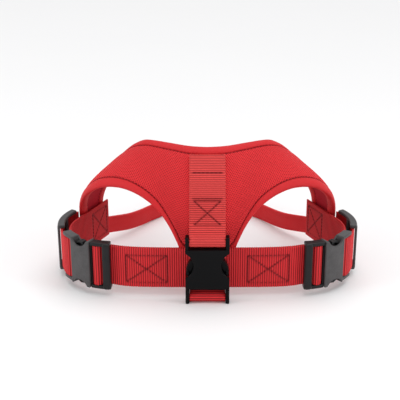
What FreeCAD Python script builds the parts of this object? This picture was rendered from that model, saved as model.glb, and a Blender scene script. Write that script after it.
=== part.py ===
# Padded no-pull dog harness: yoke, girth strap and three side-release buckles, in millimetres.
# X is left to right across the chest, Y runs from the chest to the back, Z is up.
import math
import os
import FreeCAD
import Part
from FreeCAD import Vector as V

os.makedirs("parts", exist_ok=True)

# ---- webbing
WEB_T = 1.5            # webbing thickness
WEB_CHEST = 25.0       # width of the chest webbing and its tab
WEB_GIRTH = 30.0       # width of the girth webbing
LAYER_GAP = 0.15       # gap left between sewn layers
STRAP_MID_Z = 23.3     # mid height of the girth webbing above the floor

# ---- yoke
PAD_T = 4.0            # yoke thickness through mesh, foam and lining
MESH_T = 1.0           # outer mesh cloth
LINING_T = 0.8         # inner lining cloth
LEG_BIND_W = 8.0       # leg edge binding, seen width
NECK_BIND_W = 7.4      # neck edge binding, seen width
BIND_PROUD = 0.7       # how far a binding stands above the cloth

# ---- buckles
RAIL_T = 2.7           # side rail of a buckle frame
SIDE_CLEAR = 0.3       # webbing edge to rail
BODY_T_FRONT = 9.0     # thickness of the chest buckle
BODY_T_SIDE = 8.5      # thickness of a girth buckle
WALL_T = 1.6           # wall of a buckle housing
BAR_R = 1.9            # webbing bar radius
BAR_CLEAR = 0.15       # bar to webbing
FIT_D = 0.5            # prong to housing wall, through the thickness
FIT_END = 0.3          # plug frame to housing mouth
EDGE_R = 0.8           # rounding of a housing's edges
RAIL_R = 0.9           # rounding of rails and slider bars
END_BAR_R = 1.9        # rounding of the thick end bar of a girth plug
DISH_DEEP = 1.8        # depth of the finger dish in a prong
BUCKLE_BACK_Y = 0.5    # back face of the chest buckle
SIDE_X, SIDE_Y = 66.0, 48.5   # centre of a girth buckle's curve
SIDE_R = 45.3          # outer face radius of a girth buckle
SIDE_MID_DEG = 35.0    # where its middle sits on that curve

# ---- slider
SLIDE_X, SLIDE_Y = 68.7, 46.7  # centre of the slider's curve
SLIDE_R = 39.9         # radius of the webbing inside it
SLIDE_FROM, SLIDE_TO = -12.6, 33.9   # its ends, degrees from +X
SLIDE_RAIL_T = 2.7
SLIDE_BAR_W = 4.2

# ---- neck strap and leash ring
BACK_H = 14.0          # height of the padded back strap
BACK_T = 4.0
RING_WIRE_R = 1.7
RING_W = 27.0          # inside width of the D-ring
RING_ARM = 6.0         # straight part of the D-ring's sides
RING_CLEAR = 0.35      # ring wire to its keeper
RING_REST_DEG = 47.0   # how far it stands out from hanging straight down, lying on the floor
KEEPER_W = 22.0

LOOP_R = BAR_R + BAR_CLEAR + WEB_T / 2.0
parts = {}


# ---------------------------------------------------------------- helpers
def spline(points):
    curve = Part.BSplineCurve()
    curve.interpolate([V(*p) for p in points])
    return curve


def dense(points, count):
    """Evenly spaced points and tangents along a smooth curve through the given points."""
    curve = spline(points)
    edge = curve.toShape()
    out = []
    for i in range(count):
        way = edge.Length * i / (count - 1.0)
        p = edge.getParameterByLength(way) if i < count - 1 else edge.LastParameter
        t = edge.tangentAt(p)
        out.append((edge.valueAt(p), t))
    return out


def pieces(points, spans=6):
    """Edges along one smooth curve through the points, cut into short runs."""
    curve = spline(points)
    first, last = curve.FirstParameter, curve.LastParameter
    count = max(1, (len(points) - 1) // spans)
    knots = curve.getKnots()
    cuts = [knots[round(i * (len(knots) - 1) / count)] for i in range(count + 1)]
    cuts[0], cuts[-1] = first, last
    return [curve.toShape(a, b) for a, b in zip(cuts, cuts[1:])]


def ribbon(plan, thick, low, high, plane="XY", count=None):
    """Strip that follows a plan curve, with its width from low to high across the plane."""
    up = V(0, 0, 1) if plane == "XY" else V(1, 0, 0)
    pts = [(p[0], p[1], 0.0) if plane == "XY" else (0.0, p[0], p[1]) for p in plan]
    run = dense(pts, count or max(12, 3 * len(plan)))
    sides = [[p + t.cross(up).normalize() * (k * thick / 2.0) for p, t in run] for k in (1, -1)]
    edges = pieces(sides[0]) + pieces(sides[1])
    edges += [Part.makeLine(sides[0][i], sides[1][i]) for i in (0, -1)]
    face = Part.Face(Part.Wire(Part.__sortEdges__(edges)))
    solid = face.extrude(up * (high - low))
    solid.translate(up * low)
    return solid


def mirror_x(shape):
    return shape.mirror(V(0, 0, 0), V(1, 0, 0))


def both_sides(name, shape):
    parts[name + "_right"] = shape
    parts[name + "_left"] = mirror_x(shape)


# ---------------------------------------------------------------- buckle kit
class Frame:
    """Straight or curved space: u along the webbing, d out from the back, w across."""

    def __init__(self, face_r, thick):
        self.face_r, self.back_r = face_r, (face_r - thick if face_r else None)

    def seg(self, u, d, w, soft=0.0):
        """Block between two lengths, depths and widths, with its edges rounded by soft."""
        if not self.face_r:
            solid = Part.makeBox(u[1] - u[0], d[1] - d[0], w[1] - w[0], V(u[0], -d[1], w[0]))
            return solid.makeFillet(soft, solid.Edges) if soft else solid
        r0, r1 = self.back_r + d[0], self.back_r + d[1]
        wire = Part.makePolygon([V(0, -r0, w[0]), V(0, -r1, w[0]), V(0, -r1, w[1]),
                                 V(0, -r0, w[1]), V(0, -r0, w[0])])
        turn = [math.degrees(k / self.face_r) for k in u]
        solid = Part.Face(wire).revolve(V(0, 0, 0), V(0, 0, 1), turn[1] - turn[0])
        solid.rotate(V(0, 0, 0), V(0, 0, 1), turn[0])
        return solid.makeFillet(soft, solid.Edges) if soft else solid

    def at(self, shape, u):
        """Moves a shape made about u = 0 on the back face to its place."""
        shape = shape.copy()
        if not self.face_r:
            shape.translate(V(u, 0, 0))
        else:
            shape.translate(V(0, -self.back_r, 0))
            shape.rotate(V(0, 0, 0), V(0, 0, 1), math.degrees(u / self.face_r))
        return shape

    def block(self, outline, d):
        """Outline in (u, w) pushed through the thickness, between two depths."""
        mid = sum(p[0] for p in outline) / len(outline)
        loop = [V(p[0] - mid, 2.0, p[1]) for p in outline]
        solid = Part.Face(Part.makePolygon(loop + loop[:1])).extrude(V(0, -20, 0))
        solid = self.at(solid, mid)
        lo, hi = min(p[0] for p in outline) - 6, max(p[0] for p in outline) + 6
        return solid.common(self.seg((lo, hi), d, (-40, 40)))

    def rod(self, u, d, r, w):
        rod = Part.makeCylinder(r, w[1] - w[0], V(0, -d, w[0]), V(0, 0, 1))
        return self.at(rod, u)

    def drum(self, u, w, r, d):
        drum = Part.makeCylinder(r, d[1] - d[0], V(0, -d[0], w), V(0, -1, 0))
        return self.at(drum, u)


def buckle(web, thick, face_r, mouth, plate, tips, bars, notch, prong, dish, seat, plug_end, guide):
    """One side-release buckle: housing, plug and two prongs with a dished finger pad each."""
    fr = Frame(face_r, thick)
    half = web / 2.0 + SIDE_CLEAR + RAIL_T
    rail = half - RAIL_T
    mid = thick / 2.0
    body = fr.seg((mouth, plate), (0, thick), (-half, half), EDGE_R if face_r else 0.0)
    hollow = fr.seg((mouth - 1, plate - WALL_T), (WALL_T, thick - WALL_T), (-half + WALL_T, half - WALL_T))
    u_n, w_n, r_n = notch
    for s in (1, -1):
        body = body.cut(fr.drum(u_n, s * (half + w_n), r_n, (-1, thick + 1)))
    if not face_r:
        body = body.makeFillet(EDGE_R, body.Edges)
    body = body.cut(hollow)
    for s in (1, -1):
        w = sorted((s * rail, s * half))
        body = body.fuse(fr.seg((plate - WALL_T + 0.1, tips[1]), (1.0, thick - 0.8), w, RAIL_R))
    body = body.fuse(fr.rod(bars[1], mid, BAR_R, (-half + 0.5, half - 0.5)))

    plug = fr.rod(bars[0], mid, BAR_R, (-half + 0.5, half - 0.5))
    for s in (1, -1):
        w = sorted((s * rail, s * half))
        plug = plug.fuse(fr.seg((tips[0], mouth - FIT_END), (1.0, thick - 0.8), w, RAIL_R))
    inner = half - WALL_T - FIT_END
    root = prong[0][0] - seat
    depth = (WALL_T + FIT_D, thick - WALL_T - FIT_D)
    plug = plug.fuse(fr.seg((mouth - FIT_END - 0.8, root), depth, (-inner, inner)))
    plug = plug.fuse(fr.seg((root - 0.5, guide), depth, (-2.4, 2.4)))
    if plug_end:
        plug = plug.fuse(fr.seg((tips[0], plug_end), (4.4, thick + 0.4), (-half, half), END_BAR_R))
    hooks = []
    for s in (1, -1):
        hook = fr.block([(u, s * w) for u, w in prong], depth)
        hollow = fr.block([(u, s * w) for u, w in dish], (depth[1] - DISH_DEEP, depth[1] + 1))
        hooks.append(hook.cut(hollow))
    return body, plug, hooks[0], hooks[1]


# ---------------------------------------------------------------- chest buckle (straight, plug below)
CHEST_U = 25.5                     # half its length
CHEST_BARS = (-21.2, 21.2)
chest = buckle(
    WEB_CHEST, BODY_T_FRONT, None, -13.5, 16.5, (-CHEST_U, CHEST_U), CHEST_BARS,
    (4.5, 4.6, 10.4),
    [(-9.3, 9.6), (-9.3, 11.6), (-4.2, 11.9), (-3.4, 14.4), (-1.0, 15.0), (3.0, 14.6), (7.0, 12.6),
     (9.5, 9.4), (9.5, 8.2), (3.0, 8.0), (-4.0, 8.0), (-8.5, 8.2)],
    [(-2.2, 13.2), (0.8, 13.7), (3.6, 13.2), (6.6, 11.4), (7.9, 9.5), (3.0, 9.2), (-2.0, 9.4)],
    0.25, None, 4.0)


def stand_up(shape):
    shape = shape.copy()
    shape.rotate(V(0, 0, 0), V(0, 1, 0), -90)
    shape.translate(V(0, BUCKLE_BACK_Y, CHEST_U))
    return shape


for key, shape in zip(("chest_housing", "chest_plug", "chest_prong_left", "chest_prong_right"), chest):
    parts[key] = stand_up(shape)

# ---------------------------------------------------------------- girth buckles (curved, plug in front)
GIRTH_HALF = WEB_GIRTH / 2.0 + SIDE_CLEAR + RAIL_T
GIRTH_BARS = (-13.8, 15.0)
girth = buckle(
    WEB_GIRTH, BODY_T_SIDE, SIDE_R, -8.5, 9.3, (-24.5, 21.5), GIRTH_BARS,
    (1.0, 2.6, 7.6),
    [(-6.5, 11.2), (-6.5, 13.2), (-2.4, 13.6), (-1.9, 16.2), (1.2, 16.6), (4.4, 15.0), (6.1, 11.4),
     (6.1, 10.2), (0.0, 9.8), (-6.0, 10.0)],
    [(-1.0, 15.0), (1.1, 15.3), (3.6, 14.1), (4.8, 11.5), (1.8, 11.2), (-1.0, 11.4)],
    1.3, -18.4, 2.5)


def turn_in(shape):
    shape = shape.copy()
    shape.rotate(V(0, 0, 0), V(0, 0, 1), SIDE_MID_DEG)
    shape.translate(V(SIDE_X, SIDE_Y, STRAP_MID_Z))
    return shape


for key, shape in zip(("girth_housing", "girth_plug", "girth_prong_upper", "girth_prong_lower"), girth):
    both_sides(key, turn_in(shape))


def on_girth(u, d):
    """Plan point of a girth buckle at length u and depth d, right side."""
    ang = math.radians(SIDE_MID_DEG) + u / SIDE_R
    r = SIDE_R - BODY_T_SIDE + d
    return (SIDE_X + r * math.sin(ang), SIDE_Y - r * math.cos(ang))


def round_bar(u, start, stop, steps):
    """Plan points of webbing round a girth buckle's bar, angles from outward (0) to rearward (90)."""
    ang = math.radians(SIDE_MID_DEG) + u / SIDE_R
    out = (math.sin(ang), -math.cos(ang))
    along = (math.cos(ang), math.sin(ang))
    cx, cy = on_girth(u, BODY_T_SIDE / 2.0)
    pts = []
    for i in range(steps):
        a = math.radians(start + (stop - start) * i / (steps - 1.0))
        k, m = LOOP_R * math.cos(a), LOOP_R * math.sin(a)
        pts.append((cx + out[0] * k + along[0] * m, cy + out[1] * k + along[1] * m))
    return pts


# ---------------------------------------------------------------- girth webbing
LOW, HIGH = STRAP_MID_Z - WEB_GIRTH / 2.0, STRAP_MID_Z + WEB_GIRTH / 2.0
# middle of the front strap, which passes behind the tab on the chest buckle's back
STRAP_Y = BUCKLE_BACK_Y + 0.2 + WEB_T + 0.35 + WEB_T / 2.0
STRAP_END_X = 38.0     # where the folded strap ends begin
half_strap = [(0, STRAP_Y), (14, STRAP_Y), (27, STRAP_Y + 0.1), (STRAP_END_X, STRAP_Y + 0.3)]
parts["front_strap"] = ribbon([(-x, y) for x, y in reversed(half_strap[1:])] + half_strap,
                              WEB_T, LOW, HIGH)
step = WEB_T + LAYER_GAP
outer_run = [(STRAP_END_X + 0.2, STRAP_Y + 0.3), (46, STRAP_Y + 0.6), (55, STRAP_Y + 1.4),
             (62.5, STRAP_Y + 3.0), on_girth(-24.3, 3.2), on_girth(-20.8, 3.1), on_girth(-18.9, 3.15),
             on_girth(-17.4, 4.2)]
inner_run = [on_girth(-15.0, BODY_T_SIDE / 2.0 - LOOP_R - 0.1), on_girth(-20.0, 3.2 - step - 0.3),
             on_girth(-24.3, 3.3 - step - 0.2), (61.5, STRAP_Y + 3.1 + step), (54, STRAP_Y + 1.6 + step),
             (42, STRAP_Y + 0.5 + step)]
wrap = round_bar(GIRTH_BARS[0], -56, 178, 9)
both_sides("strap_end", ribbon(outer_run + wrap + inner_run, WEB_T, LOW, HIGH, count=64))

# side strap: from the patch inside the wing, forward, round the housing bar, back through the slider


def on_slider(deg, r=SLIDE_R):
    a = math.radians(deg)
    return (SLIDE_X + r * math.cos(a), SLIDE_Y + r * math.sin(a))


wing_face = [(83.777, 99.474), (86.977, 92.374), (90.377, 84.974), (93.677, 77.574), (96.877, 70.574)]
inward = PAD_T + BIND_PROUD      # from the wing's outer face to the middle of the patch sewn inside it
patch = [(x - 0.91 * inward, y - 0.42 * inward) for x, y in wing_face]
patch += [(96.6, 60.8), (100.1, 52.6), (101.6, 43.6), (100.9, 35.2), (98.9, 29.2)]
outer_leg = [on_slider(a) for a in (-21.0, -16.0, -8.0, 2.0, 12.0, 22.0, 32.0, 39.5)]
turned = round_bar(GIRTH_BARS[1], 176, 368, 8)
both_sides("side_strap", ribbon(patch + turned + outer_leg, WEB_T, LOW, HIGH, count=80))

# ---------------------------------------------------------------- sliders
lo, hi = STRAP_MID_Z - GIRTH_HALF, STRAP_MID_Z + GIRTH_HALF


def slider_seg(a0, a1, r0, r1, z0, z1):
    wire = Part.makePolygon([V(r0, 0, z0), V(r1, 0, z0), V(r1, 0, z1), V(r0, 0, z1), V(r0, 0, z0)])
    solid = Part.Face(wire).revolve(V(0, 0, 0), V(0, 0, 1), a1 - a0)
    solid.rotate(V(0, 0, 0), V(0, 0, 1), a0)
    solid = solid.makeFillet(RAIL_R, solid.Edges)
    solid.translate(V(SLIDE_X, SLIDE_Y, 0))
    return solid


bar_deg = math.degrees(SLIDE_BAR_W / SLIDE_R)
over, under = SLIDE_R + WEB_T / 2.0 + 0.25, SLIDE_R - WEB_T / 2.0 - 0.25
mid_deg = (SLIDE_FROM + SLIDE_TO) / 2.0
slider = slider_seg(SLIDE_FROM, SLIDE_TO, under - 1.6, over + 1.6, lo, lo + SLIDE_RAIL_T)
slider = slider.fuse(slider_seg(SLIDE_FROM, SLIDE_TO, under - 1.6, over + 1.6, hi - SLIDE_RAIL_T, hi))
slider = slider.fuse(slider_seg(SLIDE_FROM, SLIDE_FROM + bar_deg, over, over + 1.9, lo + 1, hi - 1))
slider = slider.fuse(slider_seg(SLIDE_TO - bar_deg, SLIDE_TO, over, over + 1.9, lo + 1, hi - 1))
slider = slider.fuse(slider_seg(mid_deg - bar_deg / 2, mid_deg + bar_deg / 2, under - 1.9, under,
                                lo + 1, hi - 1))
both_sides("slider", slider)

# ---------------------------------------------------------------- yoke surface
# leg edge, middle and neck edge, from the chest centre line round to the end of the right wing
LEG = [(0, 6.6, 26), (10.5, 6.6, 27.0), (18.2, 6.4, 33.5), (22.2, 6.4, 42.6), (27, 8.3, 52.2),
       (36, 12.5, 64.6),
       (46, 18.5, 71), (57, 26, 74), (68, 35, 73.3), (79, 43.5, 70), (88, 52, 63), (93.6, 59, 55.5),
       (97.2, 65, 46), (98.5, 69, 35), (98.9, 70.5, 24)]
MID = [(0, 4.6, 64), (7.5, 5.0, 64.6), (14, 7.0, 68.5), (19.2, 10.5, 73.5), (25.5, 16.0, 79),
       (34.5, 24.5, 85.5), (43.5, 32.5, 89), (53.5, 41.0, 90.5), (63.5, 50, 87.5), (74.5, 59.5, 79),
       (84, 68.0, 68.5),
       (90.5, 75, 57.5), (93.6, 79.5, 46), (93.8, 82.5, 34.5), (93.0, 84.0, 24)]
NECK = [(0, 33.6, 104.7), (6, 34.2, 104.7), (12, 35.8, 104.6), (18, 38.5, 104.5), (24, 41.9, 104.4),
        (31, 46.3, 104.1), (38.5, 51.3, 103.6), (45.5, 57.0, 102.2), (52.5, 65.2, 96.6), (61, 76, 85),
        (70, 85.5, 71),
        (78, 92.3, 57.5), (83.4, 96.5, 45.5), (85.6, 98.8, 34), (85.9, 99.2, 24)]
HUG = [0.0, 3.6, 0.0, -4.8, 0.0]     # bends the middle of the yoke clear of the girth strap, per row
COLUMNS = 15                         # smooth columns on each half


def even(points, count):
    """Points whose spacing grows smoothly from the chest centre to the wing."""
    whole = [(-x, y, z) for x, y, z in reversed(points[1:])] + points
    edge = spline(whole).toShape()
    gaps = [8.0 + 6.0 * math.sin(math.pi * i / (2.0 * count)) for i in range(count)]
    out, run = [], 0.0
    for g in [0.0] + gaps:
        run += g
        p = edge.getParameterByLength(edge.Length * (0.5 + 0.5 * min(1.0, run / sum(gaps))))
        out.append(edge.valueAt(p))
    return out


legs, mids, necks = even(LEG, COLUMNS), even(MID, COLUMNS), even(NECK, COLUMNS)


def column(i):
    out = []
    near = max(0.0, 1.0 - (i / 4.5) ** 2) ** 2
    for k in range(5):
        v = k / 4.0
        p = legs[i] * ((1 - v) * (1 - 2 * v)) + mids[i] * (4 * v * (1 - v)) + necks[i] * (v * (2 * v - 1))
        out.append((p.x, p.y + HUG[k] * near, p.z))
    return out


right_half = [column(i) for i in range(COLUMNS + 1)]
grid = [[(-x, y, z) for x, y, z in c] for c in reversed(right_half[1:])] + right_half
ROWS = 9
rows = []              # per column: the smooth curve from leg edge to neck edge
for c in grid:
    rows.append(spline(c).toShape())


def surface_normals():
    """Outward normal of the yoke along each column, at ROWS even steps."""
    steps = [k / (ROWS - 1.0) for k in range(ROWS)]
    pts = [[e.valueAt(e.getParameterByLength(e.Length * k)) for k in steps] for e in rows]
    surf = Part.BSplineSurface()
    surf.interpolate(pts)
    out = []
    for c in range(len(pts)):
        line = []
        for k in range(ROWS):
            u, v = surf.parameter(pts[c][k])
            n = surf.normal(u, v)
            line.append(n if n.dot(V(pts[c][k].x * 0.6, -60, 40)) > 0 else n * -1)
        out.append(line)
    return out


normals = surface_normals()


def normal_at(c, part):
    k = max(0.0, min(1.0, part)) * (ROWS - 1)
    i = min(int(k), ROWS - 2)
    return (normals[c][i] * (i + 1 - k) + normals[c][i + 1] * (k - i)).normalize()


def point_at(c, length):
    e = rows[c]
    return e.valueAt(e.getParameterByLength(max(0.0, min(e.Length, length))))


def skins(points, spans=5):
    """Faces of one smooth surface through a net of points, cut into short runs."""
    surf = Part.BSplineSurface()
    surf.interpolate(points)
    knots = surf.getUKnots()
    count = max(1, (len(knots) - 1) // spans)
    cuts = [knots[round(i * (len(knots) - 1) / count)] for i in range(count + 1)]
    v = surf.getVKnots()
    faces = []
    for a, b in zip(cuts, cuts[1:]):
        part = surf.copy()
        part.segment(a, b, v[0], v[-1])
        faces.append(part.toShape())
    return faces


def layer(start, stop, depth0, depth1, cols):
    """Cloth layer between two depths under the outer face; start and stop are distances from the edges."""
    nets = []
    for d in (depth0, depth1):
        net = []
        for c in cols:
            total = rows[c].Length
            lens = [start + (total - start - stop) * k / 6.0 for k in range(7)]
            net.append([point_at(c, s) - normal_at(c, s / total) * d for s in lens])
        nets.append(net)
    one, two = skins(nets[0]), skins(nets[1])
    faces = []
    for k, (a, b) in enumerate(zip(one, two)):
        faces += [a, b]
        for i in range(4):
            mid = a.Edges[i].valueAt(sum(a.Edges[i].ParameterRange) / 2.0)
            inside = any(a.Edges[i].Length and mid.distanceToPoint(o.Edges[j].valueAt(
                sum(o.Edges[j].ParameterRange) / 2.0)) < 0.01 for o in one if o is not a for j in range(4))
            if not inside:
                faces.append(Part.makeRuledSurface(a.Edges[i], b.Edges[i]))
    shell = Part.Shell(faces)
    shell.sewShape()
    solid = Part.Solid(Part.Shell(shell.Faces))
    if solid.Volume < 0:
        solid.reverse()
    return solid


def binding(cols, width, at_neck):
    """Rounded cloth binding folded over the leg or the neck edge."""
    h = PAD_T / 2.0 + BIND_PROUD
    form = [(0, 1), (0.4, 1), (0.78, 0.8), (1, 0), (0.78, -0.8), (0.4, -1), (0, -1)]
    wires = []
    for c in cols:
        total = rows[c].Length
        s0, s1 = (total - width, total) if at_neck else (width, 0.0)
        base, tip = point_at(c, s0), point_at(c, s1)
        n = normal_at(c, s0 / total)
        along = tip - base
        along = (along - n * along.dot(n)).normalize() * width
        mid = base - n * (PAD_T / 2.0)
        pts = [mid + along * a + n * (b * h) for a, b in form]
        wires.append(Part.Wire([spline(pts).toShape(), Part.makeLine(pts[-1], pts[0])]))
    return Part.makeLoft(wires, True, False)


every = list(range(len(grid)))
centre = len(grid) // 2
edge_leg, edge_neck = LEG_BIND_W + 0.1, NECK_BIND_W + 0.1
parts["yoke_mesh"] = layer(edge_leg, edge_neck, 0.0, MESH_T, every)
parts["yoke_padding"] = layer(edge_leg, edge_neck, MESH_T + LAYER_GAP, PAD_T - LINING_T - LAYER_GAP, every)
parts["yoke_lining"] = layer(edge_leg, edge_neck, PAD_T - LINING_T, PAD_T, every)
parts["neck_binding"] = binding(every, NECK_BIND_W, True)
parts["leg_binding_right"] = binding(every[centre:], LEG_BIND_W, False)
parts["leg_binding_left"] = mirror_x(parts["leg_binding_right"])

# ---------------------------------------------------------------- chest webbing
# down the yoke's middle, round the housing's bar and back up behind itself
profile = [(point_at(centre, s), normal_at(centre, s / rows[centre].Length)) for s in
           (rows[centre].Length - NECK_BIND_W - 1.2 - k * 6.4 for k in range(8))]
lift = WEB_T / 2.0 + 0.4
down = [((p + n * lift).y, (p + n * lift).z) for p, n in profile]
bar_y, bar_z = BUCKLE_BACK_Y - BODY_T_FRONT / 2.0, CHEST_U + CHEST_BARS[1]
turn = [(bar_y - LOOP_R * math.cos(math.radians(a)), bar_z - LOOP_R * math.sin(math.radians(a)))
        for a in (-14, 20, 55, 90, 125, 160, 184)]
seam_y, seam_z = point_at(centre, 31.0).y - 0.4 - WEB_T / 2.0, 57.5
down = [p for p in down if p[1] > seam_z + 3.5]
back = [(bar_y + LOOP_R + 0.5, bar_z + 3.0), (seam_y - 1.3, seam_z - 4.6), (seam_y, seam_z - 0.5)]
down += [(seam_y - step - 0.1, seam_z), (seam_y - 5.4, seam_z - 4.6)]
parts["chest_webbing"] = ribbon(down + turn + back, WEB_T, -WEB_CHEST / 2.0, WEB_CHEST / 2.0,
                                plane="YZ", count=60)

# tab: sewn on the front strap, down behind the housing and round the plug's bar
tab_z = CHEST_U + CHEST_BARS[0]
tab_y = BUCKLE_BACK_Y + 0.2 + WEB_T / 2.0
hook = [(bar_y - LOOP_R * math.cos(math.radians(a)), tab_z - LOOP_R * math.sin(math.radians(a)))
        for a in (178, 150, 120, 90, 60, 30, 0, -35, -70)]
fall = [(tab_y, 37.5), (tab_y, 28.0), (tab_y, 20.0), (tab_y, 13.6), (tab_y - 0.45, 10.4)]
parts["chest_tab"] = ribbon(fall + hook + [(-3.0, 7.75), (-1.9, 8.3)], WEB_T,
                            -WEB_CHEST / 2.0, WEB_CHEST / 2.0, plane="YZ", count=48)

# ---------------------------------------------------------------- back strap and leash ring
back_run = [(84.2, 97.9, 8.0), (79.2, 104.4, 6.7), (73.4, 110.4, 5.2), (64.5, 119.5, 3.2), (56.8, 130.0, 1.7),
            (48.0, 143.3, 0.7), (37.6, 156.6, 0.15), (26.0, 168.2, 0.0), (13.0, 175.6, 0.0), (0, 178.0, 0.0)]
full_run = back_run + [(-x, y, z) for x, y, z in reversed(back_run[:-1])]
sections = []
for p, t in dense(full_run, 49):
    p.z = max(0.0, p.z)
    out = V(t.y, -t.x, 0).normalize() * (BACK_T / 2.0)
    rise = V(0, 0, BACK_H)
    sections.append(Part.makePolygon([p - out, p + out, p + out + rise, p - out + rise, p - out]))
parts["back_strap"] = Part.makeLoft(sections, True, False)

# keeper: webbing sewn on the back strap, folded over the ring's straight bar
loop = RING_WIRE_R + RING_CLEAR + WEB_T / 2.0
inner_y = back_run[-1][1] + BACK_T / 2.0 + LAYER_GAP + WEB_T / 2.0
ring_y, ring_z = inner_y + loop, BACK_H + 2.5
over_bar = [(ring_y - loop * math.cos(math.radians(a)), ring_z + loop * math.sin(math.radians(a)))
            for a in (0, 30, 60, 90, 120, 150, 180)]
parts["ring_keeper"] = ribbon(
    [(inner_y, 1.0), (inner_y, 5.0), (inner_y, 12.0)] + over_bar
    + [(inner_y + step + 2.1, ring_z - 3.8), (inner_y + step + 0.4, ring_z - 7.5),
       (inner_y + step + 0.1, ring_z - 11.0), (inner_y + step, 2.0)], WEB_T,
    -KEEPER_W / 2.0, KEEPER_W / 2.0, plane="YZ", count=48)

# D-ring: straight bar through the keeper, bow out behind it
r = RING_W / 2.0 + RING_WIRE_R
ring = Part.makeTorus(r, RING_WIRE_R, V(0, 0, -RING_ARM), V(0, 1, 0))
ring = ring.common(Part.makeBox(60, 20, 30, V(-30, -10, -30 - RING_ARM)))
for s in (1, -1):
    ring = ring.fuse(Part.makeCylinder(RING_WIRE_R, RING_ARM, V(s * r, 0, -RING_ARM), V(0, 0, 1)))
    ring = ring.fuse(Part.makeSphere(RING_WIRE_R, V(s * r, 0, 0)))
ring = ring.fuse(Part.makeCylinder(RING_WIRE_R, 2 * r, V(-r, 0, 0), V(1, 0, 0))).removeSplitter()
ring.rotate(V(0, 0, 0), V(1, 0, 0), RING_REST_DEG)
ring.translate(V(0, ring_y, ring_z))
parts["leash_ring"] = ring

# ---------------------------------------------------------------- origin: bottom centre of the whole
reach = [q for p in parts.values() for q in p.copy().tessellate(0.02)[0]]
low = [min(getattr(q, k) for q in reach) for k in "xyz"]
high = [max(getattr(q, k) for q in reach) for k in "xyz"]
shift = V(-(low[0] + high[0]) / 2.0, -(low[1] + high[1]) / 2.0, -low[2])
print("moved by", shift, "size", [round(b - a, 3) for a, b in zip(low, high)])
for name, shape in parts.items():
    if not shape.isValid():
        raise RuntimeError(name + " is not a valid solid")
    shape = shape.copy()
    shape.translate(shift)
    shape.exportStep("parts/" + name + ".step")
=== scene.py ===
# A padded pet harness: bound mesh yoke, ribbed webbing, side-release buckles, sliders, back strap.
# It is put together here in the order the real one is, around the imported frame.
import math

import bmesh
import bpy
from mathutils import Matrix, Vector, noise
from mathutils.geometry import interpolate_bezier


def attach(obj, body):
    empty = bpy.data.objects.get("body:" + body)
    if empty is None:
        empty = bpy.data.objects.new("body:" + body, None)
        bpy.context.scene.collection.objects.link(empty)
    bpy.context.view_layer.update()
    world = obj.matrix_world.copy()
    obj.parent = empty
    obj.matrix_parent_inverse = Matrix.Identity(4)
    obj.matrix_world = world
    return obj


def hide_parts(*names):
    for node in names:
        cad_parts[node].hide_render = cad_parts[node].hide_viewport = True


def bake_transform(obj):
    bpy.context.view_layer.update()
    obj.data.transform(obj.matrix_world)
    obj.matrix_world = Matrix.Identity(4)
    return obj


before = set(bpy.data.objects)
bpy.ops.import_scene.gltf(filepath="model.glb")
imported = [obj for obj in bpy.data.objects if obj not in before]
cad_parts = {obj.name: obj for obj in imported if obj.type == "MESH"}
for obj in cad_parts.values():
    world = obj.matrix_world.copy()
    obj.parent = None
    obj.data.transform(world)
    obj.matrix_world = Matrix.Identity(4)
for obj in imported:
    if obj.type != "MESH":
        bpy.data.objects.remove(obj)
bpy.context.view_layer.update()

# ---------------------------------------------------------------- stage
# A wide white floor, a broad light overhead, three soft lamps round the front and a pale room.
# None of this belongs to the harness.
MM = 0.001
DEPTH_TO_MIDDLE = 96.2        # from the chest buckle's back to the middle of the harness


def place(x, y, z):
    """A point in metres, from millimetres across, behind the chest buckle and above the floor."""
    return Vector((x, y - DEPTH_TO_MIDDLE, z)) * MM


class Amount:
    """A number that varies over a finish. Sums and products of it add their Math nodes."""

    def __init__(self, finish, socket):
        self.finish, self.socket = finish, socket

    def maths(self, operation, *terms):
        made = self.finish.node("Math", {"operation": operation}, dict(enumerate(terms)))
        return Amount(self.finish, made.outputs[0])

    def __add__(self, other):
        return self.maths("ADD", self, other)

    def __sub__(self, other):
        return self.maths("SUBTRACT", self, other)

    def __rsub__(self, other):
        return self.maths("SUBTRACT", other, self)

    def __mul__(self, other):
        return self.maths("MULTIPLY", self, other)

    def __pow__(self, other):
        return self.maths("POWER", self, other)

    __radd__, __rmul__ = __add__, __mul__

    def wave(self, length):
        """A smooth wave from 0 to 1 that repeats every length."""
        return self.maths("COSINE", self * (2 * math.pi / length)) * 0.5 + 0.5


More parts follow.
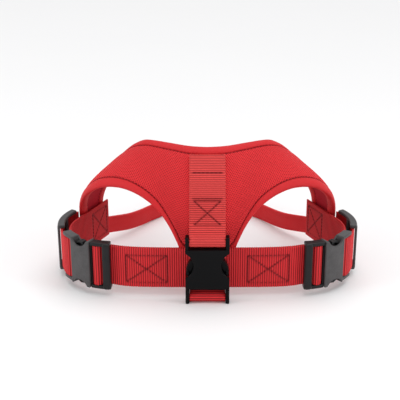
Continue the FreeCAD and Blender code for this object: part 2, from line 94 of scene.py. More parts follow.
class Finish:
    """A material on its way: one Principled shader and the nodes that feed it."""

    def __init__(self, name, roughness, sheen=0.0, metallic=0.0, shine=0.2):
        self.material = bpy.data.materials.new(name)
        self.material.use_nodes = True
        self.tree = self.material.node_tree
        self.shader = self.tree.nodes["Principled BSDF"]
        self.shader.inputs["Roughness"].default_value = roughness
        self.shader.inputs["Metallic"].default_value = metallic
        self.shader.inputs["Sheen Weight"].default_value = sheen
        self.shader.inputs["Sheen Roughness"].default_value = 0.45
        self.shader.inputs["Sheen Tint"].default_value = (1.0, 0.30, 0.30, 1)
        self.shader.inputs["Specular IOR Level"].default_value = shine

    def feed(self, socket, value):
        if isinstance(value, Amount):
            value = value.socket
        if isinstance(value, bpy.types.NodeSocket):
            self.tree.links.new(value, socket)
        else:
            socket.default_value = value

    def node(self, kind, settings=None, values=None):
        made = self.tree.nodes.new("ShaderNode" + kind)
        for name, value in (settings or {}).items():
            setattr(made, name, value)
        for name, value in (values or {}).items():
            self.feed(made.inputs[name], value)
        return made

    def cloth(self):
        """Distance along and across a piece of cloth, in metres, from its own UV map."""
        drawn = self.node("UVMap", {"uv_map": "cloth"})
        split = self.node("SeparateXYZ", values={0: drawn.outputs[0]})
        return Amount(self, split.outputs[0]), Amount(self, split.outputs[1])

    def spot(self):
        return self.node("TexCoord").outputs["Object"]

    def mottle(self, scale, detail=3.0):
        made = self.node("TexNoise", values={"Vector": self.spot(), "Scale": scale, "Detail": detail})
        return Amount(self, made.outputs["Fac"])

    def mark(self, name):
        """A number stored on the piece's own points."""
        return Amount(self, self.node("Attribute", {"attribute_name": name}).outputs["Fac"])

    def mix(self, share, first, second):
        first = (*first, 1) if isinstance(first, tuple) else first
        return self.node("Mix", {"data_type": "RGBA"}, {0: share, 6: first, 7: (*second, 1)}).outputs[2]

    def colour(self, value):
        self.feed(self.shader.inputs["Base Color"], value)

    def relief(self, height, distance, strength=1.0):
        values = {"Height": height, "Distance": distance, "Strength": strength}
        self.feed(self.shader.inputs["Normal"], self.node("Bump", values=values).outputs[0])


def piece(bm, name, finish, body=None):
    """A finished object from a bmesh, at the origin with its place in its mesh."""
    mesh = bpy.data.meshes.new(name)
    bm.to_mesh(mesh)
    bm.free()
    for face in mesh.polygons:
        face.use_smooth = True
    made = bpy.data.objects.new(name, mesh)
    bpy.context.collection.objects.link(made)
    made.data.materials.append(finish.material)
    if body:
        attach(made, body)
    return made


floor_paint = Finish("floor_paint", 0.9)
patches = floor_paint.mottle(3.0)
floor_paint.colour(floor_paint.mix(patches, (0.855, 0.855, 0.86), (0.875, 0.875, 0.88)))
bm = bmesh.new()
bmesh.ops.create_grid(bm, x_segments=1, y_segments=1, size=6.0)
piece(bm, "floor", floor_paint)

world = bpy.data.worlds.new("room")
bpy.context.scene.world = world
world.use_nodes = True
world.node_tree.nodes["Background"].inputs["Color"].default_value = (1.0, 1.0, 1.0, 1)
world.node_tree.nodes["Background"].inputs["Strength"].default_value = 0.66
bpy.context.scene.view_settings.view_transform = "Standard"


def lamp(name, where, aim, size, power, kind="AREA"):
    light = bpy.data.lights.new(name, kind)
    light.energy = power
    if kind == "SUN":
        light.angle = math.radians(size)
    else:
        light.shape, light.size = "DISK", size
    made = bpy.data.objects.new(name, light)
    made.location = where
    made.rotation_euler = (Vector(aim) - Vector(where)).to_track_quat("-Z", "Y").to_euler()
    bpy.context.collection.objects.link(made)


lamp("ceiling", (0.25, 0.45, 1.5), (0, 0, 0), 60, 1.14, "SUN")
lamp("front_box", (0.0, -0.7, 1.3), (0, -0.05, 0.05), 0.4, 1.7)
lamp("left_box", (-1.05, -0.45, 0.45), (0, -0.05, 0.03), 0.5, 3.4)
lamp("right_box", (1.05, -0.45, 0.45), (0, -0.05, 0.03), 0.5, 3.4)

camera = bpy.data.objects.new("camera", bpy.data.cameras.new("camera"))
camera.data.lens, camera.data.sensor_width = 89.4, 36.0
camera.data.shift_x, camera.data.shift_y = -0.0185, 0.0112
camera.location = (0.0, -0.7309, 0.3297)
toward = Vector((0.0, -0.0262, 0.045)) - camera.location
camera.rotation_euler = toward.to_track_quat("-Z", "Y").to_euler()
bpy.context.collection.objects.link(camera)
bpy.context.scene.camera = camera

# ---------------------------------------------------------------- yoke shape
# The yoke is one Y-shaped panel of layered cloth, cut and sewn to curve over the chest and shoulders.
# Three lines give its form, each from the chest centre to the end of the right wing.
LEG_EDGE = [(0, 6.6, 26), (10.5, 6.6, 27.0), (18.2, 6.4, 33.5), (22.2, 6.4, 42.6), (27, 8.3, 52.2),
            (36, 12.5, 64.6), (46, 18.5, 71), (57, 26, 74), (68, 35, 73.3), (79, 43.5, 70),
            (88, 52, 63), (93.6, 59, 55.5), (97.2, 65, 46), (98.5, 69, 35), (98.9, 70.5, 24)]
MIDDLE = [(0, 4.6, 64), (7.5, 5.0, 64.6), (14, 7.0, 68.5), (19.2, 10.5, 73.5), (25.5, 16.0, 79),
          (34.5, 24.5, 85.5), (43.5, 32.5, 89), (53.5, 41.0, 90.5), (63.5, 50, 87.5), (74.5, 59.5, 79),
          (84, 68.0, 68.5), (90.5, 75, 57.5), (93.6, 79.5, 46), (93.8, 82.5, 34.5), (93.0, 84.0, 24)]
NECK_EDGE = [(0, 33.6, 104.7), (6, 34.2, 104.7), (12, 35.8, 104.6), (18, 38.5, 104.5),
             (24, 41.9, 104.4), (31, 46.3, 104.1), (38.5, 51.3, 103.6), (45.5, 57.0, 102.2),
             (52.5, 65.2, 96.6), (61, 76, 85), (70, 85.5, 71), (78, 92.3, 57.5), (83.4, 96.5, 45.5),
             (85.6, 98.8, 34), (85.9, 99.2, 24)]
HALF = 78                     # columns from the chest centre to the end of a wing
ROWS = 36
PAD = 4.0 * MM                # mesh, foam and lining together
LEG_TAPE, NECK_TAPE = 8.0 * MM, 7.4 * MM
HUG_DEPTHS = (0.0, 0.0, 3.6, 0.0, -4.8, 0.0, 0.0)     # millimetres, from the leg edge to the neck edge
HUG_FADE = 3.5964             # the bend fades out within HALF / HUG_FADE columns of the centre


def along(points, steps):
    """Evenly spaced points on a smooth curve through the given ones."""
    gaps = [(b - a).length for a, b in zip(points, points[1:])]
    lean = [(points[1] - points[0]) / gaps[0]]
    for before, here, after, gap, room in zip(points, points[1:], points[2:], gaps, gaps[1:]):
        lean.append(((here - before) / gap * room + (after - here) / room * gap) / (gap + room))
    lean.append((points[-1] - points[-2]) / gaps[-1])
    fine = [points[0]]
    for i, gap in enumerate(gaps):
        fine += interpolate_bezier(points[i], points[i] + lean[i] * gap / 3,
                                   points[i + 1] - lean[i + 1] * gap / 3, points[i + 1], 13)[1:]
    reach = [0.0]
    for a, b in zip(fine, fine[1:]):
        reach.append(reach[-1] + (b - a).length)
    out, k = [], 0
    for i in range(steps + 1):
        want = reach[-1] * i / steps
        while k < len(fine) - 2 and reach[k + 1] < want:
            k += 1
        out.append(fine[k].lerp(fine[k + 1], (want - reach[k]) / (reach[k + 1] - reach[k])))
    return out


def edge_line(points):
    whole = [place(-x, y, z) for x, y, z in reversed(points[1:])] + [place(*p) for p in points]
    return along(whole, 2 * HALF)


def hug(share, near):
    """How far the panel bends in behind the girth strap and back out under the neck."""
    i = min(3, int(share * 4))
    a, b, c, d = HUG_DEPTHS[i:i + 4]
    t = share * 4 - i
    bend = 2 * b + (c - a) * t + (2 * a - 5 * b + 4 * c - d) * t * t + (3 * b - a - 3 * c + d) * t ** 3
    return Vector((0, bend / 2 * near * MM, 0))


edges = [edge_line(points) for points in (LEG_EDGE, MIDDLE, NECK_EDGE)]
panel, reaches = [], []
for column in range(2 * HALF + 1):
    leg, mid, neck = (line[column] for line in edges)
    off = abs(column - HALF) / HALF * HUG_FADE
    near = max(0.0, 1 - off * off) ** 2
    shares = [row / ROWS for row in range(ROWS + 1)]
    line = [leg * (1 - v) * (1 - 2 * v) + mid * 4 * v * (1 - v) + neck * v * (2 * v - 1) + hug(v, near)
            for v in shares]
    panel.append(line)
    run = [0.0]
    for a, b in zip(line, line[1:]):
        run.append(run[-1] + (b - a).length)
    reaches.append(run)


def outward(column, row):
    left, right = max(0, column - 1), min(2 * HALF, column + 1)
    low, high = max(0, row - 1), min(ROWS, row + 1)
    along_row = panel[right][row] - panel[left][row]
    normal = along_row.cross(panel[column][high] - panel[column][low]).normalized()
    away = Vector((panel[column][row].x * 0.6, -0.06, 0.04))
    return normal if normal.dot(away) > 0 else -normal


spread = [0.0]                # length along the middle row, from the left wing's end
for a, b in zip(panel, panel[1:]):
    spread.append(spread[-1] + (b[ROWS // 2] - a[ROWS // 2]).length)
fronts = [[outward(column, row) for row in range(ROWS + 1)] for column in range(2 * HALF + 1)]


def on_column(column, way):
    """Point and outward direction on one column, at a distance from its leg edge."""
    run, row = reaches[column], 0
    while row < ROWS - 1 and run[row + 1] < way:
        row += 1
    t = (way - run[row]) / (run[row + 1] - run[row])
    return (panel[column][row].lerp(panel[column][row + 1], t),
            fronts[column][row].lerp(fronts[column][row + 1], max(0, min(1, t))).normalized())


def on_yoke(column, way):
    """The same between two columns; a negative distance counts from the neck edge."""
    first = max(0, min(2 * HALF - 1, int(column)))
    found = [on_column(c, way if way >= 0 else reaches[c][-1] + way) for c in (first, first + 1)]
    t = column - first
    return found[0][0].lerp(found[1][0], t), found[0][1].lerp(found[1][1], t).normalized()


# ---------------------------------------------------------------- yoke pad and lining
# Knitted spacer mesh over thin foam, one piece from wing to wing and a little full between its edges.
# The lining is a plain dark cloth laid flat against its back, and the bindings hold both.
mesh_cloth = Finish("knitted_mesh", 0.8, sheen=0.04)
u, v = mesh_cloth.cloth()
HOLE = 1.75 * MM
hole = (u + v * 0.7).wave(HOLE) * (u - v * 0.7).wave(HOLE)
rows_of_knit = v.wave(HOLE / 1.4)
depth = hole ** 0.7 * 0.75 + rows_of_knit * 0.25
worn = mesh_cloth.mottle(45.0, 4.0)
# The holes and the furrows between the knit rows are painted near-black red: painted shade down in
# them.
shade = mesh_cloth.mix(depth, (0.98, 0.040, 0.048), (0.16, 0.001, 0.003))
shade = mesh_cloth.mix(worn * 0.2, shade, (0.84, 0.026, 0.034))
# Beside the bindings the mesh is painted darker along the sewn-down groove: painted shade in the
# groove.
mesh_cloth.colour(mesh_cloth.mix(mesh_cloth.mark("seam_shade") * 0.5, shade, (0.16, 0.001, 0.004)))
mesh_cloth.relief(1 - depth, 0.6 * MM, 1.0)

lining_cloth = Finish("lining_cloth", 0.85, sheen=0.05)
u, v = lining_cloth.cloth()
weave = u.wave(0.8 * MM) * v.wave(0.8 * MM)
lining_cloth.colour(lining_cloth.mix(weave, (0.46, 0.006, 0.020), (0.30, 0.003, 0.012)))
lining_cloth.relief(weave, 0.15 * MM, 0.6)


def cloth_map(bm, spots):
    """A UV map in metres: distance along and across, from a value per vertex."""
    layer = bm.loops.layers.uv.new("cloth")
    for face in bm.faces:
        for loop in face.loops:
            loop[layer].uv = spots[loop.vert]


def close_up(bm):
    """Join a sheet that was rolled up from a grid, cap its ends and turn its faces outwards."""
    bmesh.ops.remove_doubles(bm, verts=bm.verts[:], dist=1e-7)
    bmesh.ops.holes_fill(bm, edges=[edge for edge in bm.edges if edge.is_boundary], sides=0)
    bmesh.ops.recalc_face_normals(bm, faces=bm.faces[:])


TUCK = 0.8 * MM               # how far the layers run in under the bindings
FULL_BY = 3.5 * MM            # the padding reaches its full height this far from a binding
GROOVE, SHADED = 0.9 * MM, 0.85 * MM    # width of the sewn-down groove, and of the shade in it
RIPPLE = 0.18 * MM


def panel_layer(front, back, crown):
    """A closed sheet of the yoke between two depths below its face, inside the bound edges."""
    bm = bmesh.new()
    bmesh.ops.create_grid(bm, x_segments=4 * HALF, y_segments=64, size=1.0)
    seam_shade_mark = bm.verts.layers.float.new("seam_shade")
    share = {vert: ((vert.co.x + 1) / 2, (vert.co.y + 1) / 2) for vert in bm.verts}
    spots = {}
    for vert, (a, b) in share.items():
        first = min(2 * HALF - 1, int(a * 2 * HALF))
        part = a * 2 * HALF - first
        deep = reaches[first][-1] + (reaches[first + 1][-1] - reaches[first][-1]) * part
        spots[vert] = (spread[first] + (spread[first + 1] - spread[first]) * part,
                       (deep - LEG_TAPE - NECK_TAPE) * (b - 1))
    cloth_map(bm, spots)
    pulled = bmesh.ops.extrude_face_region(bm, geom=bm.faces[:])["geom"]
    back_verts = {item for item in pulled if isinstance(item, bmesh.types.BMVert)}
    share = {vert: ((vert.co.x + 1) / 2, (vert.co.y + 1) / 2) for vert in bm.verts}
    start, stop = LEG_TAPE - TUCK, NECK_TAPE - TUCK
    for vert, (a, b) in share.items():
        column = a * 2 * HALF
        first = min(2 * HALF - 1, int(column))
        total = reaches[first][-1] + (reaches[first + 1][-1] - reaches[first][-1]) * (column - first)
        way = start + (total - start - stop) * b
        point, normal = on_yoke(column, way)
        inset = min(way - LEG_TAPE, total - NECK_TAPE - way)
        full = min(1.0, max(0.0, inset) / FULL_BY) ** 0.5
        swell = crown * (full - 1.1 * math.exp(-(inset / GROOVE) ** 2))
        # Painted shade: how dark the sewn-down groove beside a binding is painted.
        vert[seam_shade_mark] = math.exp(-(max(0.0, inset) / SHADED) ** 2)
        ripple = RIPPLE * noise.noise(point * 70) if crown else 0.0
        vert.co = point + normal * ((-back if vert in back_verts else swell - front) + ripple)
    bmesh.ops.recalc_face_normals(bm, faces=bm.faces[:])
    return bm


PAD_BACK, LINING_FRONT = 3.15 * MM, 3.2 * MM
pad_layer = panel_layer(0.0, PAD_BACK, 0.45 * MM)
yoke_pad = piece(pad_layer, "yoke_pad", mesh_cloth, "vest")
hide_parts("yoke_mesh", "yoke_padding")
lining_layer = panel_layer(LINING_FRONT, PAD, 0.0)
yoke_back = piece(lining_layer, "yoke_back_cloth", lining_cloth, "vest")
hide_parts("yoke_lining")

# ---------------------------------------------------------------- bindings
# Smooth folded tape wraps the leg openings and the neck edge. It is sewn through close to its inner
# edge, which pinches it a little at every stitch.
STITCH = 2.9 * MM             # from one stitch to the next
tape_cloth = Finish("binding_tape", 0.6, sheen=0.03)
u, v = tape_cloth.cloth()
twill = (u + v).wave(0.7 * MM)
wear = twill * 0.4 + tape_cloth.mottle(60.0) * 0.5
tape_cloth.colour(tape_cloth.mix(wear, (0.66, 0.021, 0.026), (0.52, 0.012, 0.017)))
tape_cloth.relief(twill, 0.12 * MM, 0.5)
thread = Finish("thread", 0.6)
thread.colour(thread.mix(thread.mottle(900.0), (0.12, 0.001, 0.004), (0.20, 0.002, 0.008)))


LIP = 0.16                    # share of the tape's section taken by each inner lip
TAPE_PROUD = 0.7 * MM         # how far the tape stands out from the yoke on either face


def bound_edge(name, first, last, width, at_neck, node):
    """The folded tape from one column to another, round the leg or neck edge of the yoke."""
    steps, round_steps = int((last - first) * 4), 24
    bm = bmesh.new()
    bmesh.ops.create_grid(bm, x_segments=steps, y_segments=round_steps, size=1.0)
    spots, total_way, before = {}, 0.0, None
    ways = []
    for i in range(steps + 1):
        column = first + (last - first) * i / steps
        here = on_yoke(column, -width * 0.5 if at_neck else width * 0.5)[0]
        total_way += (here - before).length if before else 0.0
        before = here
        ways.append(total_way)
    for vert in bm.verts:
        i, j = round((vert.co.x + 1) / 2 * steps), round((vert.co.y + 1) / 2 * round_steps)
        column = first + (last - first) * i / steps
        base, normal = on_yoke(column, -width if at_neck else width)
        tip = on_yoke(column, -1e-9 if at_neck else 0.0)[0]
        out = tip - base
        out = (out - normal * out.dot(normal)).normalized() * width
        pinch = 0.5 + 0.5 * math.cos(2 * math.pi * ways[i] / STITCH)
        turn = j / round_steps
        if turn < LIP or turn > 1 - LIP:
            edge = (turn if turn < LIP else 1 - turn) / LIP
            a, b = 0.02 + 0.30 * edge, 0.70 + 0.30 * min(1.0, 3 * edge) ** 0.6
            b -= 0.10 * pinch * math.exp(-((edge - 0.45) / 0.25) ** 2)
            b = b if turn < LIP else -b
        else:
            angle = math.pi * (turn - LIP) / (1 - 2 * LIP)
            a, b = 0.32 + 0.68 * math.sin(angle), math.cos(angle)
        pucker = 1 + 0.010 * (pinch - 0.5) + 0.02 * noise.noise(Vector((ways[i] * 55, turn, 3.0)))
        half = (PAD / 2 + TAPE_PROUD) * pucker
        vert.co = base - normal * (PAD / 2) + out * a + normal * (b * half)
        spots[vert] = (ways[i], turn * 22 * MM)
    cloth_map(bm, spots)
    close_up(bm)
    made = piece(bm, name, tape_cloth, "vest")
    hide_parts(node)


def sewn(name, lines, body=None, blend=None):
    """Rows of stitches, each a short rounded length of thread lying on the cloth."""
    bm = bmesh.new()
    for line in lines:
        for (start, normal), (end, _) in zip(line, line[1:]):
            run = end - start
            side = normal.cross(run).normalized()
            up = run.cross(side).normalized()
            long = run.length
            frame_of = Matrix((run / long, side, up)).transposed().to_4x4()
            size = Matrix.Diagonal((long * 0.36, 0.27 * MM, 0.22 * MM, 1))
            centre = Matrix.Translation((start + end) / 2)
            bmesh.ops.create_uvsphere(bm, u_segments=6, v_segments=4, radius=1.0,
                                      matrix=centre @ frame_of @ size)
    made = piece(bm, name, thread, body)
    if blend:
        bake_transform(made)


def edge_stitches(first, last, way, lift):
    """A sewn line that follows a bound edge, a stitch length from point to point."""
    fine = [on_yoke(first + (last - first) * i / 900, way) for i in range(901)]
    line, run = [fine[0]], 0.0
    for (a, _), (b, normal) in zip(fine, fine[1:]):
        run += (b - a).length
        if run >= STITCH:
            line.append((b, normal))
            run = 0.0
    return [(point + normal * lift, normal) for point, normal in line]


bound_edge("neck_tape", 0, 2 * HALF, NECK_TAPE, True, "neck_binding")
bound_edge("leg_tape_left", 0, HALF, LEG_TAPE, False, "leg_binding_left")
bound_edge("leg_tape_right", HALF, 2 * HALF, LEG_TAPE, False, "leg_binding_right")
STITCH_IN = 0.75 * MM         # from the tape's inner edge to the sewn line
lines = []
for lift in (0.10 * MM, -PAD - 0.02 * MM):
    lines.append(edge_stitches(0.4, 2 * HALF - 0.4, -NECK_TAPE - STITCH_IN, lift))
    lines.append(edge_stitches(0.4, HALF - 3.0, LEG_TAPE + STITCH_IN, lift))
    lines.append(edge_stitches(HALF + 3.0, 2 * HALF - 0.4, LEG_TAPE + STITCH_IN, lift))
sewn("binding_stitches", lines, "vest")

# ---------------------------------------------------------------- webbing
# Woven nylon tape with ribs across it and a rounded selvedge, sewn with dark thread in boxed crosses.
# The chest has the finer and paler one, and the girth and side straps the coarser.
WEB = 1.5 * MM
RELIEF, SELVEDGE = 0.13 * MM, 0.10 * MM    # height of a rib, and how far its end stands out
SUNK = 0.16 * MM              # how far the thread sinks into the webbing


def webbing_finish(name, rib, light, dark):
    made = Finish(name, 0.55, sheen=0.04, shine=0.25)
    u, v = made.cloth()
    groove = 1 - u.wave(rib)
    warp = v.wave(0.62 * MM)
    seam_shade = made.mark("seam_shade")
    # The grooves between the ribs are painted towards the dark colour: painted shade in them.
    cord = made.mix(groove ** 2.0 * 0.95, light, dark)
    # Between the warp threads it is painted darker again, as painted shade, mixed with a random mottle
    # of tone.
    cord = made.mix(warp * 0.25 + made.mottle(70.0) * 0.2, cord, tuple(c * 0.6 for c in dark))
    # Where the thread pulls the webbing in along a seam, it is painted darker still: painted shade in
    # the pulled-in line.
    made.colour(made.mix(seam_shade * 0.88, cord, tuple(c * 0.55 for c in dark)))
    height = (1 - groove) * 0.6 + (1 - warp) * 0.4 + made.mottle(1500.0, 2.0) * 0.25
    made.relief(height, 0.22 * MM, 0.8)
    return made


# Each webbing's dark colour is the painted shade in its rib grooves.
CHEST_RIB, GIRTH_RIB = 1.35 * MM, 1.6 * MM
chest_web = webbing_finish("chest_webbing", CHEST_RIB, (1.0, 0.085, 0.078), (0.22, 0.002, 0.006))
girth_web = webbing_finish("girth_webbing", GIRTH_RIB, (0.90, 0.028, 0.036), (0.15, 0.001, 0.003))


class Tape:
    """A length of webbing along a path; across is its width direction, low and high its edges."""

    def __init__(self, path, across, low, high, rib):
        self.across, self.low, self.high, self.rib = Vector(across), low, high, rib
        rough = along(path, 400)
        length = sum((b - a).length for a, b in zip(rough, rough[1:]))
        self.steps = round(length / rib * 6)
        self.line = along(path, self.steps)
        self.length = sum((b - a).length for a, b in zip(self.line, self.line[1:]))
        self.faces = []
        for i in range(self.steps + 1):
            run = self.line[min(self.steps, i + 2)] - self.line[max(0, i - 2)]
            self.faces.append(run.cross(self.across).normalized())

    def spot(self, way, wide, lift):
        """Point and direction on the webbing, at a distance along it and across it."""
        k = max(0.0, min(self.steps - 1e-6, way / self.length * self.steps))
        i = int(k)
        normal = self.faces[i].lerp(self.faces[i + 1], k - i).normalized()
        return (self.line[i].lerp(self.line[i + 1], k - i) + self.across * wide + normal * lift,
                normal if lift > 0 else -normal)

    def build(self, name, finish, nodes, body=None, blend=None, seams=(), sides=(1,), layers=()):
        """The woven tape itself, pulled in along its seams and raised over the layers beneath it."""
        wide = 22 if seams else 10
        rim = [(-1 + 2 * k / wide, 1) for k in range(wide + 1)] + [(1.02, 0.45), (1.02, -0.45)]
        rim += [(1 - 2 * k / wide, -1) for k in range(wide + 1)]
        rim += [(-1.02, -0.45), (-1.02, 0.45), (-1, 1)]
        around = len(rim) - 1
        bm = bmesh.new()
        bmesh.ops.create_grid(bm, x_segments=self.steps, y_segments=around, size=1.0)
        seam_shade_mark = bm.verts.layers.float.new("seam_shade")
        middle, half = (self.low + self.high) / 2, (self.high - self.low) / 2
        spots = {}
        for vert in bm.verts:
            i, j = round((vert.co.x + 1) / 2 * self.steps), round((vert.co.y + 1) / 2 * around)
            share, side = rim[j]
            facing = math.copysign(1, side)
            way = self.length * i / self.steps
            rib = math.cos(2 * math.pi * way / self.rib)
            notch = SELVEDGE * rib * share if abs(share) >= 1 else 0
            across = middle + share * (half - 0.12 * MM) + notch
            height = side * (WEB / 2 - RELIEF + RELIEF * rib)
            near = 9.0
            for (a, b), (c, d) in seams:
                line = Vector((c - a, d - b))
                t = max(0, min(1, Vector((way - a, across - b)).dot(line) / line.length_squared))
                near = min(near, (Vector((way, across)) - Vector((a, b)) - line * t).length)
            pulled = math.exp(-(near / (0.5 * MM)) ** 2) if facing in sides else 0.0
            height -= side * 0.28 * MM * pulled
            for start, stop, extra in layers:
                rise = max(0.0, min(1.0, (way - start) / (1.4 * MM), (stop - way) / (1.4 * MM)))
                height += extra * math.sin(rise * math.pi / 2) if side > 0 else 0.0
            vert.co = self.line[i] + self.across * across + self.faces[i] * height
            # The pull also sets how dark the seam line is painted, as painted shade.
            vert[seam_shade_mark] = pulled
            spots[vert] = (way, across)
        cloth_map(bm, spots)
        close_up(bm)
        made = piece(bm, name, finish, body)
        if blend:
            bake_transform(made)
        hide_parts(*nodes)

    def stitches(self, seams, lift=WEB / 2 - SUNK):
        """Stitch points along each straight seam given in lengths along and across."""
        lines = []
        for (a, b), (c, d) in seams:
            count = max(1, round(math.dist((a, b), (c, d)) / STITCH))
            lines.append([self.spot(a + (c - a) * k / count, b + (d - b) * k / count, lift)
                          for k in range(count + 1)])
        return lines


def boxed_cross(start, stop, low, high, sides=True):
    """Seams of a box with its two diagonals, or of its ends and diagonals only."""
    corners = [(start, low), (stop, low), (stop, high), (start, high)]
    box = list(zip(corners, corners[1:] + corners[:1]))
    return (box if sides else box[1::2]) + [(corners[0], corners[2]), (corners[1], corners[3])]


# ---------------------------------------------------------------- chest webbing and tab
# 25 mm nylon webbing runs down the middle of the yoke, round the chest housing's bar and back up behind
# itself. Two seams and a boxed cross hold it. A short tab hangs from the plug's bar behind the buckle.
BAR_RING = 1.9 + 0.15 + 0.75  # bar centre to the middle of the webbing round it
CHEST_BAR_Y = -4.0
ACROSS_X = (1, 0, 0)
top_way = reaches[HALF][-1]
down = []
for k in range(8):
    point, normal = on_yoke(HALF, top_way - NECK_TAPE - (1.2 + 6.4 * k) * MM)
    point = point + normal * 1.15 * MM
    if point.z > 61 * MM:
        down.append(point)
seam_y = on_yoke(HALF, 31 * MM)[0].y / MM + DEPTH_TO_MIDDLE - 1.15


def ring_of(y, z, angles):
    """Points round a bar that lies along X, at angles from its front side downwards."""
    turns = [math.radians(angle) for angle in angles]
    return [place(0, y - BAR_RING * math.cos(turn), z - BAR_RING * math.sin(turn)) for turn in turns]


chest_path = down + [place(0, seam_y - 1.75, 57.5), place(0, seam_y - 5.4, 52.9)]
chest_path += ring_of(CHEST_BAR_Y, 46.7, (-14, 20, 55, 90, 125, 160, 184))
chest_path += [place(0, CHEST_BAR_Y + BAR_RING + 0.5, 49.7), place(0, seam_y - 1.3, 52.9),
               place(0, seam_y, 57.0)]
chest_tape = Tape(chest_path, ACROSS_X, -12.5 * MM, 12.5 * MM, CHEST_RIB)
chest_seams = [((14.7 * MM, -10.4 * MM), (14.7 * MM, 10.4 * MM)),
               ((33.0 * MM, -10.2 * MM), (33.0 * MM, 10.2 * MM))]
chest_seams += boxed_cross(34.4 * MM, 52.0 * MM, -9.4 * MM, 9.4 * MM, sides=False)
chest_layers = [(32.4 * MM, 53.4 * MM, 0.35 * MM), (51.4 * MM, 57.0 * MM, 0.95 * MM)]
chest_tape.build("chest_webbing_tape", chest_web, ["chest_webbing"], "vest", seams=chest_seams,
                 layers=chest_layers)
sewn("chest_stitches", chest_tape.stitches(chest_seams[:2]) +
     chest_tape.stitches(chest_seams[2:], WEB / 2 + 0.2 * MM), "vest")

tab_path = [place(0, 1.45, z) for z in (37.5, 28.0, 20.0, 13.6)] + [place(0, 1.0, 10.4)]
tab_path += ring_of(CHEST_BAR_Y, 4.3, (178, 150, 120, 90, 60, 30, 0, -35, -70))
tab_path += [place(0, -3.0, 7.75), place(0, -1.9, 8.3)]
tab = Tape(tab_path, ACROSS_X, -12.5 * MM, 12.5 * MM, CHEST_RIB)
tab.build("chest_tab_tape", girth_web, ["chest_tab"], "chest_plug")

# ---------------------------------------------------------------- girth strap
# 30 mm nylon webbing crosses the chest behind the buckle. Each end folds round its girth buckle's bar
# and is sewn back on itself with a boxed cross.
UPRIGHT = (0, 0, 1)
GIRTH_LOW, GIRTH_HIGH = 8.3 * MM, 38.3 * MM
CURVE_X, CURVE_Y = 66.0, 48.5
CURVE_MID, CURVE_R, BUCKLE_DEEP = 35.0, 45.3, 8.5


def on_curve(way, deep):
    """Plan point on the right girth buckle, at a length along it and a depth out from its back."""
    angle, radius = math.radians(CURVE_MID) + way / CURVE_R, CURVE_R - BUCKLE_DEEP + deep
    return CURVE_X + radius * math.sin(angle), CURVE_Y - radius * math.cos(angle)


def round_bar(way, start, stop, count):
    """Plan points round a bar across the right girth buckle, between two angles."""
    angle = math.radians(CURVE_MID) + way / CURVE_R
    x, y = on_curve(way, BUCKLE_DEEP / 2)
    out = []
    for i in range(count):
        turn = math.radians(start + (stop - start) * i / (count - 1))
        reach, push = BAR_RING * math.cos(turn), BAR_RING * math.sin(turn)
        out.append((x + math.sin(angle) * reach + math.cos(angle) * push,
                    y - math.cos(angle) * reach + math.sin(angle) * push))
    return out


strap_plan = [(0, 3.3), (14, 3.3), (27, 3.4), (38, 3.6), (46, 3.9), (55, 4.7), (62.5, 6.3)]
strap_plan += [on_curve(*spot) for spot in ((-24.3, 3.2), (-20.8, 3.1), (-18.9, 3.15), (-17.4, 4.2))]
strap_plan += round_bar(-13.8, -56, 178, 9)
strap_plan += [on_curve(-15.0, BUCKLE_DEEP / 2 - BAR_RING - 0.1), on_curve(-20.0, 1.25),
               on_curve(-24.3, 1.45), (61.5, 8.05), (54, 6.55), (42, 5.45), (27.5, 5.0), (14, 4.9)]
for side, way in (("left", -1), ("right", 1)):
    path = [place(way * x, y, 0) for x, y in strap_plan]
    strap = Tape(path, UPRIGHT, GIRTH_LOW, GIRTH_HIGH, GIRTH_RIB)
    outer = 1 if strap.faces[4].y < 0 else -1
    cross = boxed_cross(28.5 * MM, 58.0 * MM, 11.8 * MM, 33.2 * MM)
    bend = ("girth_plug_" + side, "vest", place(way * 62, 7, 23), place(way * 18, 3.3, 23))
    nodes = ["strap_end_" + side] + (["front_strap"] if way > 0 else [])
    strap.build("girth_strap_" + side, girth_web, nodes, blend=bend, seams=cross,
                sides=(outer,))
    sewn("girth_stitches_" + side, strap.stitches(cross, outer * (WEB / 2 - SUNK)), blend=bend)

# ---------------------------------------------------------------- side straps
# The same webbing is sewn inside each wing, comes forward round the girth housing's bar and runs
# back outside through the slider, which sets its length.
SLIDE_X, SLIDE_Y, SLIDE_R = 68.7, 46.7, 39.9
side_plan = [(79.5, 97.5), (82.7, 90.4), (86.1, 83.0), (89.4, 75.6), (92.6, 68.6), (96.6, 60.8),
             (100.1, 52.6), (101.6, 43.6), (100.9, 35.2), (98.9, 29.2)] + round_bar(15.0, 176, 368, 8)
for angle in (-21.0, -16.0, -8.0, 2.0, 12.0, 22.0, 32.0, 39.5):
    turn = math.radians(angle)
    side_plan.append((SLIDE_X + SLIDE_R * math.cos(turn), SLIDE_Y + SLIDE_R * math.sin(turn)))
for side, way in (("left", -1), ("right", 1)):
    path = [place(way * x, y, 0) for x, y in side_plan]
    strap = Tape(path, UPRIGHT, GIRTH_LOW, GIRTH_HIGH, GIRTH_RIB)
    inner = 1 if strap.faces[4].x * way < 0 else -1
    cross = boxed_cross(3.0 * MM, 24.0 * MM, 11.8 * MM, 34.6 * MM)
    strap.build("side_webbing_" + side, girth_web, ["side_strap_" + side], "vest",
                seams=cross, sides=(inner,))
    sewn("side_stitches_" + side, strap.stitches(cross, inner * (WEB / 2 - SUNK)), "vest")

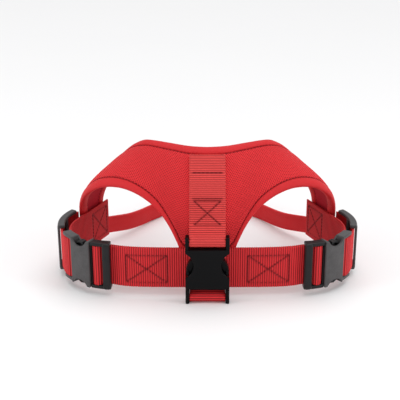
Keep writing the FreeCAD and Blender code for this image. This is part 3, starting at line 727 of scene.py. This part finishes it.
# ---------------------------------------------------------------- back strap
# A soft tube of the binding cloth over padding, with a fold pressed in near each edge. It is sewn
# between the ends of the wings and closes the neck opening behind.
BAND_T, BAND_H = 4.0 * MM, 14.0 * MM
band_plan = [(84.2, 97.9, 8.0), (79.2, 104.4, 6.7), (73.4, 110.4, 5.2), (64.5, 119.5, 3.2),
             (56.8, 130.0, 1.7), (48.0, 143.3, 0.7), (37.6, 156.6, 0.15), (26.0, 168.2, 0.0),
             (13.0, 175.6, 0.0), (0, 178.0, 0.0)]
band_line = [place(*p) for p in band_plan]
band_line += [place(-x, y, z) for x, y, z in reversed(band_plan[:-1])]
BAND_STEPS, BAND_ROUND = 300, 40
line = along(band_line, BAND_STEPS)
bm = bmesh.new()
bmesh.ops.create_grid(bm, x_segments=BAND_STEPS, y_segments=BAND_ROUND, size=1.0)
spots = {}
for vert in bm.verts:
    i, j = round((vert.co.x + 1) / 2 * BAND_STEPS), round((vert.co.y + 1) / 2 * BAND_ROUND)
    run = line[min(BAND_STEPS, i + 1)] - line[max(0, i - 1)]
    out = Vector((run.y, -run.x, 0)).normalized()
    turn = 2 * math.pi * j / BAND_ROUND
    up = math.copysign(abs(math.sin(turn)) ** 0.62, math.sin(turn))
    flat = math.copysign(abs(math.cos(turn)) ** 0.55, math.cos(turn))
    fold = 1 - 0.10 * math.exp(-((abs(up) - 0.70) / 0.10) ** 2)
    soft = 1 + 0.05 * noise.noise(Vector((i * 0.11, up, flat)))
    vert.co = line[i] + out * (flat * BAND_T / 2 * fold * soft)
    vert.co.z += BAND_H / 2 * (1 + up)
    vert.co.z = max(vert.co.z, 0.02 * MM)
    spots[vert] = (i * 1.15 * MM, j / BAND_ROUND * 36 * MM)
cloth_map(bm, spots)
close_up(bm)
band = piece(bm, "back_band", tape_cloth, "vest")
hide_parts("back_strap")

# ---------------------------------------------------------------- leash ring and its keeper
# A welded steel D-ring hangs in a fold of webbing on the back of the band. Two seams below the ring
# hold the fold together.
RING_Y, RING_Z, KEEPER_RING = 183.7, 16.5, 1.7 + 0.35 + 0.75
steel = Finish("ring_steel", 0.22, metallic=1.0, shine=0.5)
steel.colour(steel.mix(steel.mottle(220.0), (0.62, 0.62, 0.64), (0.50, 0.50, 0.53)))
steel.relief(steel.mottle(900.0), 0.05 * MM, 0.3)
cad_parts["leash_ring"].data.materials.clear()
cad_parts["leash_ring"].data.materials.append(steel.material)
keeper_y = RING_Y - KEEPER_RING
keeper_path = [place(0, keeper_y, z) for z in (1.0, 5.0, 12.0)]
for angle in range(0, 181, 30):
    turn = math.radians(angle)
    keeper_path.append(place(0, RING_Y - KEEPER_RING * math.cos(turn),
                             RING_Z + KEEPER_RING * math.sin(turn)))
keeper_path += [place(0, keeper_y + y, z)
                for y, z in ((3.75, 12.7), (2.05, 9.0), (1.75, 5.5), (1.65, 2.0))]
keeper = Tape(keeper_path, ACROSS_X, -11 * MM, 11 * MM, CHEST_RIB)
keeper_seam = [((keeper.length - back, -9.5 * MM), (keeper.length - back, 9.5 * MM))
               for back in (2.5 * MM, 8.0 * MM)]
outer = 1 if keeper.faces[-4].y > 0 else -1
keeper.build("ring_keeper_tape", girth_web, ["ring_keeper"], "vest", seams=keeper_seam,
             sides=(outer,))
sewn("keeper_stitches", keeper.stitches(keeper_seam, outer * (WEB / 2 - SUNK)), "vest")

# ---------------------------------------------------------------- buckles and sliders
# Injection-moulded black acetal. The chest buckle is smooth, the girth housings have a coarse grain
# that catches the light, and both housings and sliders are painted a paler grey: painted reflection of
# the floor on the housings, painted light on the sliders.
def moulded(name, shine, smooth, rough, dark, light):
    made = Finish(name, 0.35, shine=shine)
    scuff = made.mottle(160.0, 5.0)
    grain = made.mottle(1500.0, 2.0)
    made.colour(made.mix(scuff * 0.6 + grain * 0.4, dark, light))
    made.feed(made.shader.inputs["Roughness"], scuff * (rough - smooth) + smooth)
    made.relief(grain, 0.05 * MM, 0.6)
    return made.material


smooth_black = moulded("moulded_black", 0.09, 0.22, 0.40, (0.0015, 0.0015, 0.002),
                       (0.004, 0.004, 0.0045))
dull_black = moulded("moulded_dull", 0.2, 0.25, 0.45, (0.004, 0.004, 0.0045), (0.022, 0.021, 0.022))
# Painted reflection: the girth housings' paler grey stands for the bright floor they mirror; the grain
# in it is real.
grain_and_reflection_grey = moulded("moulded_grain_and_reflection", 0.2, 0.32, 0.52, (0.026, 0.025, 0.026), (0.125, 0.120, 0.122))
# The sliders' paler grey is partly their own dark grey and partly painted light on their lit faces.
grey_and_painted_light = moulded("moulded_grey_and_painted_light", 0.25, 0.28, 0.50, (0.018, 0.017, 0.018), (0.090, 0.085, 0.087))
for word, plastic in (("girth_plug", dull_black), ("girth_prong", dull_black), ("slider", grey_and_painted_light),
                      ("girth_housing", grain_and_reflection_grey), ("chest_housing", smooth_black),
                      ("chest_plug", smooth_black), ("chest_prong", smooth_black)):
    for name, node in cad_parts.items():
        if word in name:
            node.data.materials.clear()
            node.data.materials.append(plastic)
